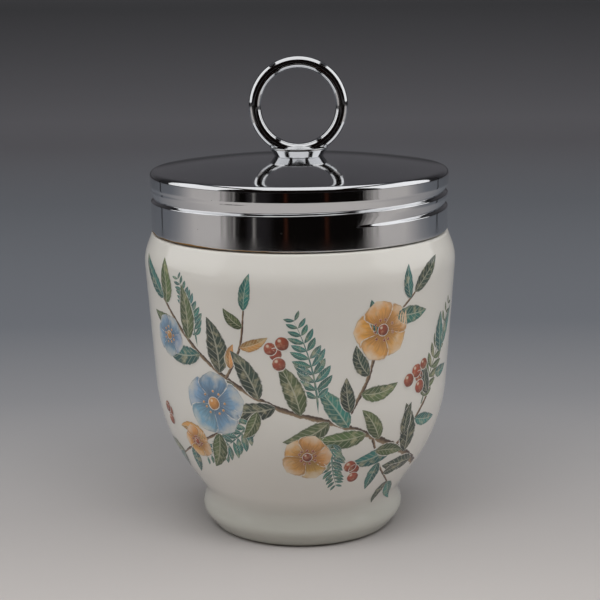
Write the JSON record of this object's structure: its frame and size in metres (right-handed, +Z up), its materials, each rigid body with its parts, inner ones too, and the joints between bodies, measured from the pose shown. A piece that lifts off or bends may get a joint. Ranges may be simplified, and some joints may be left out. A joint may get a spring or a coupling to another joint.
{
  "type": "egg coddler",
  "caption": "Porcelain egg coddler: footed cup with a screw neck, domed metal screw lid and upright lifting ring, with a washer that seals the lid to the mouth.",
  "frame": {"origin": "centre of the plane that the foot ring stands on", "axes": "+Z up along the axis of the cup and the lid; the lifting ring lies in the XZ plane with the lid closed, so -Y is the front"},
  "size_m": [0.0696, 0.0696, 0.106],
  "materials": {
    "porcelain": "clear gloss glaze over warm white body, with a fired-on botanical transfer print",
    "plated_lid": "bright chrome plate over pressed brass, worn to brass along the rim",
    "plated_ring": "bright chrome plate on round wire",
    "plated_boss": "bright chrome plate on turned brass",
    "bare_brass": "dull, lightly tarnished",
    "seal_rubber": "matt red-brown moulded rubber"
  },
  "bodies": {
    "cup": {"porcelain_cup": "porcelain"},
    "seal": {"sealing_washer": "seal_rubber"},
    "lid": {"lid_shell": "plated_lid", "lifting_ring": "plated_ring", "ring_boss": "plated_boss", "backing_washer": "bare_brass"}
  },
  "joints": [
    {"name": "lid_rise", "type": "slide", "parent": "cup", "child": "seal", "axis": [0, 0, 1], "range_m": [0, 0.01275]},
    {"name": "lid_turn", "type": "hinge", "parent": "seal", "child": "lid", "pos_m": [0, 0, 0.0681], "axis": [0, 0, 1], "range_deg": [0, 1530]}
  ],
  "couplings": [
    {"joint": "lid_rise", "follows": "lid_turn", "m_per_rad": 0.00047746}
  ]
}
